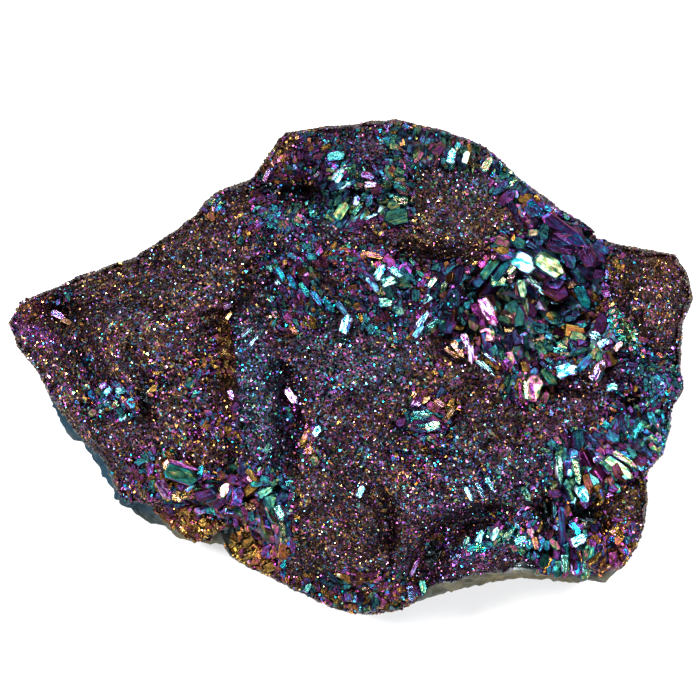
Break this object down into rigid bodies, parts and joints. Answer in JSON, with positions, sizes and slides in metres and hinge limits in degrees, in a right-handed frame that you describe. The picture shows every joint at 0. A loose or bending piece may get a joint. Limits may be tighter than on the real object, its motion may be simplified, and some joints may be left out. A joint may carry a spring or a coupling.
{
  "type": "aura chalcedony",
  "caption": "Slab of metal-coated druzy chalcedony with a rainbow crystal face, ledges, pits and crystal groups; rests on its flattened back.",
  "frame": {"origin": "middle of the slab's length and width, on the surface it rests on", "axes": "+X along the slab's length, +Y across it, +Z out of the crystal face"},
  "size_m": [0.0688, 0.0498, 0.015],
  "materials": {
    "aura_druse": "rainbow metal film on sugary quartz, glittering"
  },
  "bodies": {
    "root": {"chalcedony": "aura_druse"}
  },
  "joints": []
}
